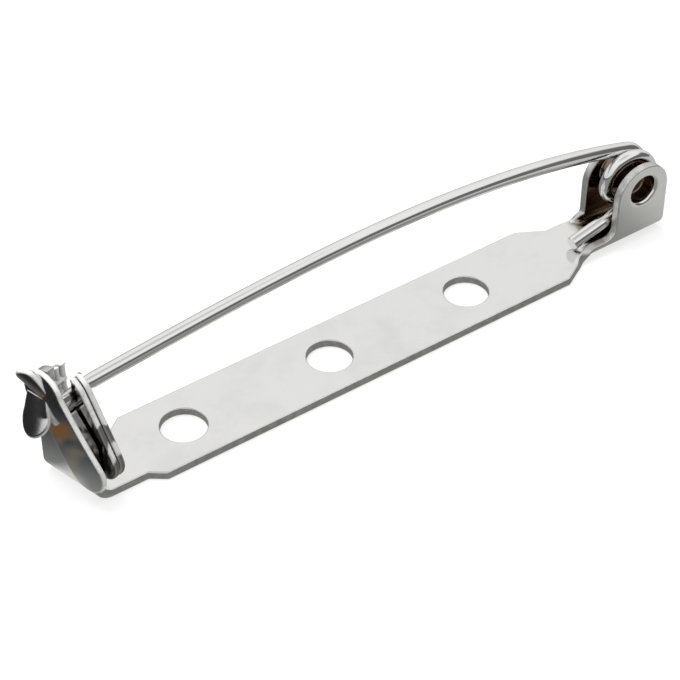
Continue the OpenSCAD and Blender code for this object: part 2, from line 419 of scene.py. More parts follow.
class Graph:
    """A short way to lay out a material's nodes."""

    def __init__(self, tree: bpy.types.NodeTree) -> None:
        """Keeps the tree that nodes are added to."""
        self.tree = tree

    def feed(self, socket: bpy.types.NodeSocket, value: object) -> None:
        """Links an input to another node's socket, or sets it to a value."""
        if isinstance(value, bpy.types.NodeSocket):
            self.tree.links.new(value, socket)
        else:
            socket.default_value = value

    def node(self, kind: str, inputs: dict | None = None, **settings: object) -> bpy.types.Node:
        """Adds a node, sets its properties and fills or links its inputs.

        Args:
            kind: the node's type name.
            inputs: input name or number to a value or to the socket that feeds it.
            settings: properties of the node itself.

        Returns:
            The node.
        """
        made = self.tree.nodes.new(kind)
        for key, value in settings.items():
            setattr(made, key, value)
        for key, value in (inputs or {}).items():
            self.feed(made.inputs[key], value)
        return made

    def sum(self, kind: str, a: object, b: object) -> bpy.types.NodeSocket:
        """One step of arithmetic on two values or sockets."""
        return self.node("ShaderNodeMath", {0: a, 1: b}, operation=kind).outputs[0]

    def add(self, a: object, b: object) -> bpy.types.NodeSocket:
        """The sum of two values or sockets."""
        return self.sum("ADD", a, b)

    def times(self, a: object, b: object) -> bpy.types.NodeSocket:
        """The product of two values or sockets."""
        return self.sum("MULTIPLY", a, b)

    def vector(self, kind: str, a: object, b: object) -> bpy.types.NodeSocket:
        """One step of vector arithmetic; a distance or a dot product gives a plain value."""
        made = self.node("ShaderNodeVectorMath", {0: a, 1: b}, operation=kind)
        return made.outputs["Value" if kind in ("DISTANCE", "DOT_PRODUCT") else "Vector"]

    def noise(self, place: object, scale: float, detail: float, roughness: float = 0.5) -> bpy.types.NodeSocket:
        """Soft random patches, with scale to a metre."""
        inputs = {"Vector": place, "Scale": scale, "Detail": detail, "Roughness": roughness}
        return self.node("ShaderNodeTexNoise", inputs).outputs["Fac"]

    def bump(self, height: object, strength: float, distance: float, **over: object) -> bpy.types.NodeSocket:
        """A normal tipped by a height's slope, over another normal when one is given."""
        inputs = {"Height": height, "Strength": strength, "Distance": distance, **over}
        return self.node("ShaderNodeBump", inputs).outputs["Normal"]

    def span(self, value: object, low: float, high: float, to_low: float, to_high: float) -> bpy.types.NodeSocket:
        """Maps a value smoothly from one range to another."""
        inputs = {"Value": value, "From Min": low, "From Max": high, "To Min": to_low, "To Max": to_high}
        return self.node("ShaderNodeMapRange", inputs, interpolation_type="SMOOTHSTEP").outputs[0]

    def rising(self, value: object, stretch: Stretch) -> bpy.types.NodeSocket:
        """0 below a stretch and 1 above it."""
        return self.span(value, *stretch, 0.0, 1.0)

    def falling(self, value: object, stretch: Stretch) -> bpy.types.NodeSocket:
        """1 below a stretch and 0 above it."""
        return self.span(value, *stretch, 1.0, 0.0)

    def axes(self, place: object) -> tuple[bpy.types.NodeSocket, ...]:
        """The X, Y and Z of a place or direction."""
        return tuple(self.node("ShaderNodeSeparateXYZ", {0: place}).outputs)

    def tint(self, share: object, a: object, b: object) -> bpy.types.NodeSocket:
        """Mixes two colours, by number because the mixing node repeats its socket names."""
        made = self.node("ShaderNodeMix", data_type="RGBA")
        for key, value in ((0, share), (6, a), (7, b)):
            self.feed(made.inputs[key], value)
        return made.outputs[2]

    def metal(self, colour: object, metallic: object, roughness: object, normal: object) -> None:
        """Ends a material with a metal surface."""
        inputs = {"Base Color": colour, "Metallic": metallic, "Roughness": roughness, "Normal": normal, "IOR": 1.5}
        shader = self.node("ShaderNodeBsdfPrincipled", inputs)
        self.node("ShaderNodeOutputMaterial", {"Surface": shader.outputs[0]})


def bare_material(name: str) -> tuple[bpy.types.Material, Graph]:
    """An empty material, and the graph that fills it."""
    made = bpy.data.materials.new(name)
    made.use_nodes = True
    made.node_tree.nodes.clear()
    return made, Graph(made.node_tree)


@dataclass(frozen=True)
class PaintedShade:
    """Where painted shade darkens the hinge's recesses and the coil's inner side, and runs as dark streaks between the
    catch's plates.

    Attributes:
        ears_inside: distance from the middle over which the painted shade on the ears' inner faces ends.
        hinge_end: X over which the painted shade in the hinge begins.
        hinge_top: height over which it thins out, to the share top_share.
        top_share: what is left of it above.
        hollow_side: distance from the middle over which the painted shade in a boss's hollow ends.
        hollow_ring: distance from the hinge's axis over which it does.
        coil_ring: distance from the hinge's axis over which the painted shade on the coil ends.
        plates: depth from the tab's outer face over which the streaks between the plates begin.
        plates_end: depth over which they end.
        edges: depth over which the streaks on the cut edges begin.
        edges_end: depth over which they end.
        foot: height over which the streaks begin.
        climb: height over which they grow thinner, from low_share to high_share.
        streak: noise over which a streak of painted shade turns dark.
    """

    ears_inside: Stretch = (0.00108, 0.00122)
    hinge_end: Stretch = (0.0172, 0.0184)
    hinge_top: Stretch = (0.0038, 0.0050)
    top_share: float = 0.25
    hollow_side: Stretch = (0.00125, 0.00150)
    hollow_ring: Stretch = (0.0013, 0.0016)
    coil_ring: Stretch = (0.00125, 0.0016)
    plates: Stretch = (0.00035, 0.00045)
    plates_end: Stretch = (0.00062, 0.00068)
    edges: Stretch = (0.00002, 0.0001)
    edges_end: Stretch = (0.0016, 0.0018)
    foot: Stretch = (0.0011, 0.0016)
    climb: Stretch = (0.0022, 0.0072)
    low_share: float = 0.09
    high_share: float = -0.1
    streak: Stretch = (0.48, 0.55)

    def off_axis(self, g: Graph, place: object) -> bpy.types.NodeSocket:
        """Distance of a place from the hinge's axis."""
        return g.vector("DISTANCE", g.vector("MULTIPLY", place, (1.0, 0.0, 1.0)), HINGE_AXIS)

    def hinge(self, g: Graph, place: object) -> bpy.types.NodeSocket:
        """How much painted shade a place gets: most between the ears, under the coil and in the bosses' hollows.

        Args:
            g: the material's graph.
            place: object coordinates in metres.

        Returns:
            A share from 0 to 0.9.
        """
        x, y, z = g.axes(place)
        side = g.sum("ABSOLUTE", y, 0.0)
        inside = g.times(g.falling(side, self.ears_inside), g.rising(x, self.hinge_end))
        low = g.times(inside, g.span(z, *self.hinge_top, 1.0, self.top_share))
        ring = g.falling(self.off_axis(g, place), self.hollow_ring)
        hollow = g.times(g.falling(side, self.hollow_side), ring)
        return g.times(g.sum("MAXIMUM", low, hollow), 0.9)

    def coil(self, g: Graph, place: object) -> bpy.types.NodeSocket:
        """How much painted shade the coil's inner side gets, from 0 to 0.85."""
        return g.span(self.off_axis(g, place), *self.coil_ring, 0.85, 0.0)

    def catch(self, g: Graph, place: object, cut: object) -> bpy.types.NodeSocket:
        """Painted shade as dark streaks between the catch's plates and on their edges inside the outer lever, thicker
        lower down.

        Args:
            g: the material's graph.
            place: object coordinates in metres.
            cut: the cut-edge mark.

        Returns:
            A share from 0 to 0.9.
        """
        corner = tuple(MM * c for c in CATCH_CORNER) + (0.0,)
        square = (math.cos(CATCH_TURN), math.sin(CATCH_TURN), 0.0)
        depth = g.vector("DOT_PRODUCT", g.vector("SUBTRACT", place, corner), square)
        between = g.times(g.rising(depth, self.plates), g.falling(depth, self.plates_end))
        edges = g.times(g.rising(depth, self.edges), g.falling(depth, self.edges_end))
        where = g.sum("MAXIMUM", between, g.times(edges, cut))
        height = g.axes(place)[2]
        patches = g.noise(g.vector("MULTIPLY", place, (1.0, 1.0, 0.5)), 1100.0, 2.0)
        thick = g.add(patches, g.span(height, *self.climb, self.low_share, self.high_share))
        return g.times(g.times(where, g.rising(height, self.foot)), g.span(thick, *self.streak, 0.0, 0.9))


@dataclass(frozen=True)
class BrightPlate:
    """Bright nickel plating over pressed steel: nearly mirror faces, with a rougher sheared edge of its own tone.

    Attributes:
        name: the material's name.
        tone: colour of the faces.
        edge_tone: colour of the sheared edge.
        cloud_tone: colour of the faint clouding.
        painted_shade_tone: colour of the painted shade deep in the hinge, between the ears and in the bosses' hollows.
        plate_gap_shade_tone: colour of the painted shade that runs as dark streaks between the catch's plates.
        edge_shine: how metallic the sheared edge is; less, with a pale edge_tone, gives a pale edge that is a painted
            highlight along the rims.
        roughness: of the faces.
        edge_roughness: of the sheared edge.
        ripple: height of the shallow waves that rolling leaves, in metres.
        wave_scale: waves to a metre.
        painted_shade_map: where the painted shade in the hinge and the painted dark streaks in the catch are.
    """

    name: str
    tone: Colour = (0.80, 0.795, 0.78, 1.0)
    edge_tone: Colour = (0.50, 0.49, 0.475, 1.0)
    cloud_tone: Colour = (0.70, 0.70, 0.69, 1.0)
    painted_shade_tone: Colour = (0.16, 0.10, 0.06, 1.0)
    plate_gap_shade_tone: Colour = (0.06, 0.045, 0.035, 1.0)
    edge_shine: float = 1.0
    roughness: float = 0.13
    edge_roughness: float = 0.34
    ripple: float = 0.000004
    wave_scale: float = 420.0
    painted_shade_map: PaintedShade = PaintedShade()

    def material(self) -> bpy.types.Material:
        """Builds the material: clouding, fine pits and shallow waves, the sheared edge by its mark, and the painted
        shade.

        Returns:
            The material.
        """
        made, g = bare_material(self.name)
        place = g.node("ShaderNodeTexCoord").outputs["Object"]
        cut = g.node("ShaderNodeAttribute", attribute_name="cut_edge").outputs["Fac"]
        cloud = g.noise(place, self.wave_scale, 4.0, 0.6)
        grain = g.noise(place, 5200.0, 3.0)
        torn = g.noise(place, 2300.0, 5.0, 0.7)
        pits = g.node("ShaderNodeTexVoronoi", {"Vector": place, "Scale": 620.0}).outputs["Distance"]
        faint = g.span(cloud, 0.42, 0.75, 0.0, 0.55)
        face = g.tint(faint, self.tone, self.cloud_tone)
        edge = g.tint(g.rising(torn, (0.35, 0.7)), self.edge_tone, self.cloud_tone)
        colour = g.tint(g.times(cut, 0.85), face, edge)
        # Painted shade: darker between the ears, low in the hinge and in the bosses' hollows.
        colour = g.tint(self.painted_shade_map.hinge(g, place), colour, self.painted_shade_tone)
        # Painted shade: dark streaks between the catch's plates and on their cut edges.
        colour = g.tint(self.painted_shade_map.catch(g, place, cut), colour, self.plate_gap_shade_tone)
        rough = g.add(self.roughness, g.times(faint, 0.12))
        rough = g.add(rough, g.times(cut, self.edge_roughness - self.roughness))
        fine = g.add(g.times(grain, 0.5), g.times(g.falling(pits, (0.02, 0.07)), -0.6))
        fine = g.add(fine, g.times(g.times(torn, cut), 3.0))
        normal = g.bump(fine, 0.35, 0.000006, Normal=g.bump(cloud, 0.5, self.ripple))
        # Below 1, edge_shine makes the sheared edge less metallic; with a pale edge tone this paints a highlight along
        # the cut edges.
        metallic = 1.0
        if self.edge_shine < 1.0:
            metallic = g.sum("SUBTRACT", 1.0, g.times(cut, 1.0 - self.edge_shine))
        g.metal(colour, metallic, rough, normal)
        return made


@dataclass(frozen=True)
class DrawnWire:
    """Bright drawn spring wire: mirror steel with faint lines that run along it.

    Attributes:
        name: the material's name.
        tone: colour of the wire.
        line_tone: colour of the draw lines.
        painted_shade_tone: colour of the painted shade on the inner side of the coil.
        roughness: of the polished surface.
        painted_shade_map: where the painted shade is.
    """

    name: str
    tone: Colour = (0.83, 0.83, 0.82, 1.0)
    line_tone: Colour = (0.62, 0.62, 0.61, 1.0)
    painted_shade_tone: Colour = (0.16, 0.10, 0.06, 1.0)
    roughness: float = 0.10
    painted_shade_map: PaintedShade = PaintedShade()

    def material(self) -> bpy.types.Material:
        """Builds the material: lines stretched along the wire on its own UV map, over a fine grain.

        Returns:
            The material.
        """
        made, g = bare_material(self.name)
        along = g.node("ShaderNodeUVMap", uv_map="wire_run").outputs[0]
        stretched = g.node("ShaderNodeMapping", {"Vector": along, "Scale": (3.0, 46.0, 1.0)}).outputs[0]
        place = g.node("ShaderNodeTexCoord").outputs["Object"]
        lines = g.noise(stretched, 1.0, 3.0)
        grain = g.noise(place, 1500.0, 3.0)
        drawn = g.span(lines, 0.52, 0.8, 0.0, 0.7)
        colour = g.tint(drawn, self.tone, self.line_tone)
        # Painted shade on the coil's inner side.
        colour = g.tint(self.painted_shade_map.coil(g, place), colour, self.painted_shade_tone)
        rough = g.add(self.roughness, g.times(drawn, 0.15))
        height = g.add(g.times(lines, 0.8), g.times(grain, 0.6))
        g.metal(colour, 1.0, rough, g.bump(height, 0.22, 0.000006))
        return made


# ---- the pieces ----


@dataclass
class StampedBase:
    """The one-piece base: bar with three holes, catch tab folded up at one end, hinge channel at the other.

    The blank is flat in (u, v). u is X over the bar, and runs on round the end fold and up the tab. |v| is Y over the
    bar, and in the channel runs on round the side fold and up the ear.
    """

    sheet: float = 0.5
    rim: float = 0.09
    bar_half: float = 2.5
    neck_half: float = 1.9
    bar_left: float = -11.7
    bar_right: float = 14.6
    shoulder_end: float = 16.2
    hinge_neck_half: float = 1.62
    hole_pitch: float = 9.2
    hole_r: float = 1.25
    fold_x: float = -14.55
    fold_r: float = 1.0
    lock_y: float = 0.4
    lock_z: float = 5.65
    head_r: float = 1.8
    seat_r: float = 0.95
    front_z: float = 3.56
    taper_z: float = 2.9
    floor_half: float = 0.6
    channel_half: float = 1.6
    ear_x: float = 20.4
    ear_r: float = 1.8
    near_ear_z: float = 3.25
    far_ear_z: float = 2.9
    near_root: float = 0.7
    far_root: float = 0.15
    hinge_x: float = 20.45
    hinge_z: float = 3.45
    boss_mouth: float = 1.2
    boss_sides: int = 96
    hollow_r: float = 0.85
    mouth_roll: float = 0.24
    floor_r: float = 0.83
    floor_round: float = 0.2
    floor_depth: float = 1.03
    stud_r: float = 0.99
    stud_round: float = 0.12
    stud_depth: float = 1.25

    @property
    def middle_r(self) -> float:
        """Radius of the sheet's middle in a fold."""
        return self.fold_r - self.sheet / 2

    def tab_point(self, y: float, z: float) -> tuple[float, float]:
        """Place in the blank of a point on the upright tab."""
        return (self.fold_x - self.middle_r * math.pi / 2 - (z - self.fold_r), y)

    def rise(self, z: float) -> float:
        """Distance from the blank's middle line of a point at height z on an ear."""
        return self.floor_half + self.middle_r * math.pi / 2 + (z - self.fold_r)

    def outline(self) -> Array:
        """The blank's outline: straight runs, the ears' round tops, their root curves and the tab's hooked head.

        Returns:
            A counter-clockwise loop with softened corners.
        """
        seat = self.tab_point(self.lock_y, self.lock_z)
        near_c, far_c = self.rise(self.near_ear_z), self.rise(self.far_ear_z)
        left, neck = self.ear_x - self.ear_r, self.hinge_neck_half
        runs = [
            [self.tab_point(-self.neck_half, self.taper_z)],
            self.near_edge(),
            [(self.bar_left, -self.bar_half), (self.bar_right, -self.bar_half), (self.shoulder_end, -neck)],
            arc((left - self.near_root, -neck - self.near_root), self.near_root, 90, 0, 16),
            arc((self.ear_x, -near_c), self.ear_r, 180, 360),
            arc((self.ear_x, far_c), self.ear_r, 0, 180),
            arc((left - self.far_root, neck + self.far_root), self.far_root, 0, -90, 8),
            [(self.shoulder_end, neck), (self.bar_right, self.bar_half), (self.bar_left, self.bar_half)],
            [(self.bar_left - 0.8, self.neck_half), self.tab_point(self.neck_half, self.taper_z)],
            arc(seat, self.head_r, 72, 168.5, 32),
            arc(seat, self.seat_r, 157.7, -71.4, 60),
            [self.tab_point(-self.neck_half, self.front_z)],
        ]
        return soften(np.vstack([np.array(run) for run in runs]), 0.055, 0.05)

    def near_edge(self) -> Array:
        """The neck's near edge, moved out by as much as the catch's turn takes it in: v - (S(u, v).y - v) / cos a.

        Returns:
            Points of the blank, from the fold's end to the bar.
        """
        u = np.linspace(self.fold_x - self.middle_r * math.pi / 2, self.bar_left - 0.8, 30)
        v = np.full(len(u), -self.neck_half)
        return np.stack([u, v - (self.surface(u, v)[:, 1] - v) / math.cos(CATCH_TURN)], 1)

    def surface(self, u: Array, v: Array) -> Array:
        """The folded middle surface.

        Along u below the fold line a point goes round an arc of radius R by the angle (fold_x - u) / R, to at most a
        quarter turn, and then straight up, and this end is turned about the neck's corner by a smooth share. Across v
        in the channel the same arc holds from the floor's edge, mixed with the flat by a smooth step in u.

        Args:
            u: places along the blank.
            v: places across the blank.

        Returns:
            Points in space.
        """
        radius = self.middle_r
        side, reach = np.sign(v), np.abs(v)
        bend = np.clip((reach - self.floor_half) / radius, 0, math.pi / 2)
        upright = np.clip(reach - self.floor_half - radius * math.pi / 2, 0, None)
        folded_y = np.minimum(reach, self.floor_half) + radius * np.sin(bend)
        folded_z = radius * (1 - np.cos(bend)) + upright
        begin, length = np.where(v > 0, 17.3, 15.7), np.where(v > 0, 1.1, 1.5)
        mix = np.clip((u - begin) / length, 0, 1)
        mix = mix * mix * (3 - 2 * mix)
        y = side * (reach + (folded_y - reach) * mix)
        z = self.sheet / 2 + folded_z * mix
        turn = np.clip((self.fold_x - u) / radius, 0, math.pi / 2)
        up = np.clip(self.fold_x - u - radius * math.pi / 2, 0, None)
        x = np.where(u < self.fold_x, self.fold_x - radius * np.sin(turn), u)
        z = z + np.where(u < self.fold_x, radius * (1 - np.cos(turn)) + up, 0)
        square = np.stack([x, y, z], 1)
        share = np.clip((-12.6 - u) / 1.9, 0, 1)[:, None]
        return square + (turned(square) - square) * share * share * (3 - 2 * share)

    def boss(self, side: int) -> list[Shell]:
        """The two faces of one pressed boss: a hollow with a rolled mouth, and the round stud that the coil sits on.

        Args:
            side: -1 for the near ear, 1 for the far ear.

        Returns:
            The hollow's surface and the stud's surface.
        """

        def place(a: Array, b: Array, depth: Array) -> Array:
            """Puts the boss on its ear, with depth pointing inwards."""
            return np.stack([self.hinge_x + a, side * (self.channel_half - depth), self.hinge_z + side * b], 1)

        roll = np.radians(np.linspace(90, 0, 7))
        back = roll[::-1]
        lip, near_floor, near_end = self.mouth_roll, self.floor_depth - 0.01, self.stud_depth
        mouth = np.stack([self.hollow_r + lip - lip * np.cos(roll), lip - lip * np.sin(roll)], 1)
        bowl = self.floor_round
        floor = np.stack([self.floor_r - bowl + bowl * np.cos(back), near_floor - bowl + bowl * np.sin(back)], 1)
        rim = [[self.boss_mouth, 0.0], [self.boss_mouth - 0.06, 0.0]]
        hollow = np.vstack([rim, mouth, floor, [[0.3, self.floor_depth], [0.0, self.floor_depth]]])
        foot = [[self.boss_mouth, self.sheet], [1.03, self.sheet + 0.012], [1.0, self.sheet + 0.04]]
        turn = self.stud_round
        end = np.stack([self.stud_r - turn + turn * np.cos(back), near_end - turn + turn * np.sin(back)], 1)
        stud = np.vstack([foot, [[self.stud_r, self.sheet + 0.09]], end, [[0.4, near_end], [0.0, near_end]]])
        return [lathe(hollow, place, self.boss_sides), lathe(stud, place, self.boss_sides)]

    def shell(self) -> Shell:
        """The whole base: the blank folded up, and the two bosses that close the openings left in its ears."""
        circle = arc((0.0, 0.0), 1.0, 0, -360, self.boss_sides + 1)[:-1]
        holes = [circle * self.hole_r + (i * self.hole_pitch, 0.0) for i in (-1, 0, 1)]
        mouths = [circle * self.boss_mouth + (self.hinge_x, side * self.rise(self.hinge_z)) for side in (-1, 1)]
        sides = np.concatenate([np.arange(-2.0, -0.4, 0.08), np.arange(0.45, 2.0, 0.08)])
        bends = [
            lattice(np.arange(-16.2, -12.4, 0.1), np.arange(-2.0, 1.81, 0.2)),
            lattice(np.arange(15.3, 22.2, 0.15), sides),
        ]
        blank = Blank(self.outline(), self.sheet, self.rim, holes, mouths, np.vstack(bends))
        return join([blank.formed(self.surface), *self.boss(-1), *self.boss(1)])

    def build(self, finish: BrightPlate) -> bpy.types.Object:
        """Makes the base and puts it in the CAD base's place.

        Args:
            finish: its plating.

        Returns:
            The finished object.
        """
        made = build_mesh("stamped_base", self.shell(), finish.material())
        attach(made, Body.BAR.value)
        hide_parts("base")
        return made


@dataclass
class PinWire:
    """The sprung wire: tail on the bar, coil on the bosses, arched leg and ground point."""

    radius: float = 0.398
    hinge_x: float = 20.45
    hinge_z: float = 3.45
    coil_r: float = 1.45
    coil_pitch: float = 0.88
    coil_y: float = 0.64
    leg_angle: float = 17.5
    tail_angle: float = 526.5
    tip: tuple[float, float, float] = (-15.9, 0.5, 5.56)
    handles: tuple[float, float] = (8.45, 6.91)
    tail_x: float = 16.2
    taper: float = 2.0
    point_r: float = 0.05
    sides: int = 28
    spacing: float = 0.07

    def on_coil(self, degrees: Array) -> Array:
        """Points of the coil: (x0 + R sin a, y0 - pitch * turns, z0 + R cos a)."""
        a = np.radians(degrees)
        y = self.coil_y - self.coil_pitch * (degrees - self.leg_angle) / 360
        return np.stack([self.hinge_x + self.coil_r * np.sin(a), y, self.hinge_z + self.coil_r * np.cos(a)], -1)

    def centreline(self) -> Array:
        """The wire's middle: straight tail, helix, and a leg whose height is a cubic of the distance along it.

        Returns:
            Evenly spaced points from the tail's end to the pin's point.
        """
        coil = self.on_coil(np.linspace(self.tail_angle, self.leg_angle, 260))
        start, slope = coil[0], math.tan(math.radians(self.tail_angle - 540))
        run = np.linspace(start[0] - self.tail_x, 0, 40)[:-1]
        tail = np.stack([start[0] - run, np.full(len(run), start[1]), start[2] + run * slope], 1)
        t = np.linspace(0, 1, 400)[1:]
        begin, (rise, fall) = coil[-1], self.handles
        z = begin[2] * (1 - t) ** 3 + 3 * rise * (1 - t) ** 2 * t + 3 * fall * (1 - t) * t * t + self.tip[2] * t**3
        leg = np.stack([begin[0] + (self.tip[0] - begin[0]) * t, begin[1] + (self.tip[1] - begin[1]) * t, z], 1)
        path = np.vstack([tail, coil, leg])
        length = np.concatenate([[0.0], np.cumsum(np.linalg.norm(np.diff(path, axis=0), axis=1))])
        at = np.linspace(0, length[-1], int(length[-1] / self.spacing))
        return np.stack([np.interp(at, length, path[:, k]) for k in range(3)], 1)

    def radii(self, run: Array) -> Array:
        """Radius along the wire: full, rounded off at the cut tail, and falling to the point as distance ** 0.75."""
        to_end = run[-1] - run
        point = self.point_r + (self.radius - self.point_r) * np.clip(to_end / self.taper, 0, 1) ** 0.75
        burr = self.radius - 0.05 * (1 - np.sqrt(1 - (1 - np.clip(run / 0.07, 0, 1)) ** 2))
        return np.minimum(point, burr)

    def shell(self) -> Shell:
        """A circle carried along the middle line, in a frame kept square to it, closed at both ends.

        Returns:
            The wire's surface.
        """
        path = self.centreline()
        ahead = np.gradient(path, axis=0)
        ahead /= np.linalg.norm(ahead, axis=1, keepdims=True)
        side = np.cross(np.array([0.0, 1.0, 0.0]), ahead)
        side /= np.linalg.norm(side, axis=1, keepdims=True)
        up = np.cross(ahead, side)
        run = np.concatenate([[0.0], np.cumsum(np.linalg.norm(np.diff(path, axis=0), axis=1))])
        turn = np.linspace(0, 2 * np.pi, self.sides, endpoint=False)
        spoke = side[:, None] * np.cos(turn)[None, :, None] + up[:, None] * np.sin(turn)[None, :, None]
        rings = path[:, None] + self.radii(run)[:, None, None] * spoke
        cap = path[:1, None] + 0.8 * self.radius * spoke[:1]
        points = np.vstack([path[:1], cap[0], rings.reshape(-1, 3), path[-1:] + 0.04 * ahead[-1:]])
        ring = 1 + np.arange(self.sides)
        last = len(points) - 1 - self.sides + np.arange(self.sides)
        first_fan = np.stack([np.zeros(self.sides, int), np.roll(ring, -1), ring], 1)
        last_fan = np.stack([np.full(self.sides, len(points) - 1), last, np.roll(last, -1)], 1)
        return Shell(points, np.vstack([first_fan, last_fan]), net(len(path) + 1, self.sides, True) + 1)

    def build(self, finish: DrawnWire) -> bpy.types.Object:
        """Makes the wire, with a UV map that runs along and round it, and puts it in the CAD wire's place.

        Args:
            finish: its finish.

        Returns:
            The finished object.
        """
        made = build_mesh("sprung_pin_wire", self.shell(), finish.material())
        self.unroll(made.data)
        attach(made, Body.PIN.value)
        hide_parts("pin_wire")
        return made

    def unroll(self, mesh: bpy.types.Mesh) -> None:
        """Writes the map: length along the middle line in millimetres, and the share of a turn round it.

        Args:
            mesh: the wire's mesh.
        """
        path = self.centreline()
        run = np.concatenate([[0.0], np.cumsum(np.linalg.norm(np.diff(path, axis=0), axis=1))])
        co = np.zeros(len(mesh.vertices) * 3)
        mesh.vertices.foreach_get("co", co)
        co = co.reshape(-1, 3) / MM
        near = np.zeros(len(co), int)
        for part in np.array_split(np.arange(len(co)), 40):
            near[part] = np.argmin(((co[part, None] - path[None]) ** 2).sum(-1), 1)
        off = co - path[near]
        share = np.abs(np.arctan2(off[:, 1], np.hypot(off[:, 0], off[:, 2]))) / np.pi
        corner = np.zeros(len(mesh.loops), np.int32)
        mesh.loops.foreach_get("vertex_index", corner)
        layer = mesh.uv_layers.new(name="wire_run")
        layer.data.foreach_set("uv", np.stack([run[near] * 0.1, share], 1)[corner].astype(np.float32).ravel())


@dataclass(frozen=True)
class Wing:
    """Sizes of one finger wing, from the lock's axis.

    Attributes:
        angle: its direction in degrees, from +Y towards +Z.
        root: where it starts along that direction.
        shift: distance of its middle line from the axis, to the left of its direction.
        reach: where it ends.
        half: half its width.
        tilt: slope at its root.
        curl: growth of the slope.
        cup: depth of the cup across it.
    """

    angle: float
    root: float
    shift: float
    reach: float
    half: float
    tilt: float
    curl: float
    cup: float


@dataclass
class SafetyLock:
    """The turning lock: a slotted barrel, two hanging levers inside, one outside, and two finger wings on that one.

    All is worked out square across the bar, about the lock's axis, and then turned with the catch.
    """

    axis_y: float = 0.4
    axis_z: float = 5.65
    barrel_in: float = 0.57
    barrel_out: float = 0.88
    slot_half: float = 0.48
    plate: float = 0.33
    inner_x: float = -14.95
    second_x: float = -14.56
    outer_x: float = -15.62
    arm: tuple[float, float] = (-2.15, -3.2)

    def lever(self, hub: float, end: float) -> Array:
        """A row of circles along the lever's arm, from the hub's to the round end's.

        Args:
            hub: radius about the lock's axis.
            end: radius of the round end.

        Returns:
            Rows of (y, z, radius), from the axis.
        """
        t = np.linspace(0, 1, 60)
        return np.stack([self.arm[0] * t, self.arm[1] * t, hub + (end - hub) * t], 1)

    def around(self, circles: Array, slotted: bool) -> Array:
        """Outline of overlapping circles: at angle a its radius is the largest |c| cos b + sqrt(r^2 - (|c| sin b)^2).

        Here c is a circle's centre and b the angle between it and a. The barrel's slot is then cut in from the top as
        a round-ended channel.

        Args:
            circles: rows of (y, z, radius), from the lock's axis.
            slotted: whether the slot is cut.

        Returns:
            A counter-clockwise loop with softened corners.
        """
        a = np.radians(np.linspace(0, 360, 1441)[:-1])[:, None]
        far, bearing = np.hypot(circles[:, 0], circles[:, 1]), np.arctan2(circles[:, 1], circles[:, 0])
        inside = circles[:, 2] ** 2 - (far * np.sin(a - bearing)) ** 2
        reach = np.where(inside > 0, far * np.cos(a - bearing) + np.sqrt(np.clip(inside, 0, None)), 0).max(1)
        loop = np.array([self.axis_y, self.axis_z]) + reach[:, None] * np.hstack([np.cos(a), np.sin(a)])
        if not slotted:
            return soften(loop, 0.06, 0.05)
        in_slot = (np.abs(loop[:, 0] - self.axis_y) < self.slot_half) & (loop[:, 1] > self.axis_z)
        first = int(np.flatnonzero(in_slot)[0])
        kept = np.roll(loop, -first, 0)[int(in_slot.sum()) :]
        channel = arc((self.axis_y, self.axis_z), self.slot_half, 0, -180, 40)
        return soften(np.vstack([kept, channel]), 0.05, 0.05)

    def disc(self, loop: Array, x: float, crown: float) -> Shell:
        """A plate across the bar whose face is a shallow dome: x - crown * (1 - (q / 3)^2), q from the lever's middle.

        Args:
            loop: outline in (y, z).
            x: place of its outer face.
            crown: height of the dome, outwards.

        Returns:
            The plate, square across the bar.
        """
        middle = (self.axis_y + self.arm[0] / 2, self.axis_z + self.arm[1] / 2)

        def upright(y: Array, z: Array) -> Array:
            """The plate's middle surface."""
            q = ((y - middle[0]) ** 2 + (z - middle[1]) ** 2) / 9
            return np.stack([x + self.plate / 2 - crown * (1 - q), y, z], 1)

        inside = lattice(np.arange(-3.2, 2.6, 0.16), np.arange(0.6, 7.6, 0.16))
        return Blank(loop, self.plate, 0.14, lattice=inside).formed(upright)

    def barrel(self) -> Shell:
        """The slotted tube: a rectangular blank rolled about the lock's axis by the angle length / R.

        Returns:
            The tube in space.
        """
        middle = (self.barrel_in + self.barrel_out) / 2
        half_slot = math.asin(self.slot_half / middle)
        half = middle * (math.pi - half_slot)
        left, right = self.outer_x - 0.08, self.second_x + self.plate - 0.02
        loop = np.array([(left, -half), (right, -half), (right, half), (left, half)])

        def rolled(x: Array, s: Array) -> Array:
            """A cylinder; s is the length round it from its lowest line."""
            a = s / middle
            return np.stack([x, self.axis_y + middle * np.sin(a), self.axis_z - middle * np.cos(a)], 1)

        inside = lattice(np.linspace(left + 0.2, right - 0.2, 5), np.arange(-half + 0.15, half - 0.1, 0.09))
        wall = self.barrel_out - self.barrel_in
        return Blank(soften(loop, 0.04, 0.05), wall, 0.08, lattice=inside).formed(rolled)

    def petal(self, wing: Wing) -> Shell:
        """A finger wing: a round-ended petal that leans and curls outwards, and is cupped across its width.

        Its height off the plate is tilt * d + curl * d^2 - cup * w^2, with d from its root and w from its middle line.

        Args:
            wing: the petal's sizes.

        Returns:
            The petal, square across the bar.
        """
        narrow = wing.half * 0.8
        tip = arc((wing.reach - wing.half, wing.shift), wing.half, -90, 90)
        loop = np.vstack([[(wing.root, wing.shift - narrow)], tip, [(wing.root, wing.shift + narrow)]])
        turn = math.radians(wing.angle)

        def leaning(r: Array, t: Array) -> Array:
            """The petal's middle surface."""
            d, w = r - wing.root, t - wing.shift
            x = self.outer_x - self.plate / 2 - wing.tilt * d - wing.curl * d**2 + wing.cup * w**2 * np.clip(d, 0, 1)
            y = self.axis_y + r * math.cos(turn) - t * math.sin(turn)
            return np.stack([x, y, self.axis_z + r * math.sin(turn) + t * math.cos(turn)], 1)

        across = wing.shift + np.arange(-wing.half + 0.1, wing.half, 0.12)
        inside = lattice(np.arange(wing.root + 0.15, wing.reach, 0.12), across)
        return Blank(soften(loop, 0.08, 0.05), self.plate, 0.13, lattice=inside).formed(leaning)

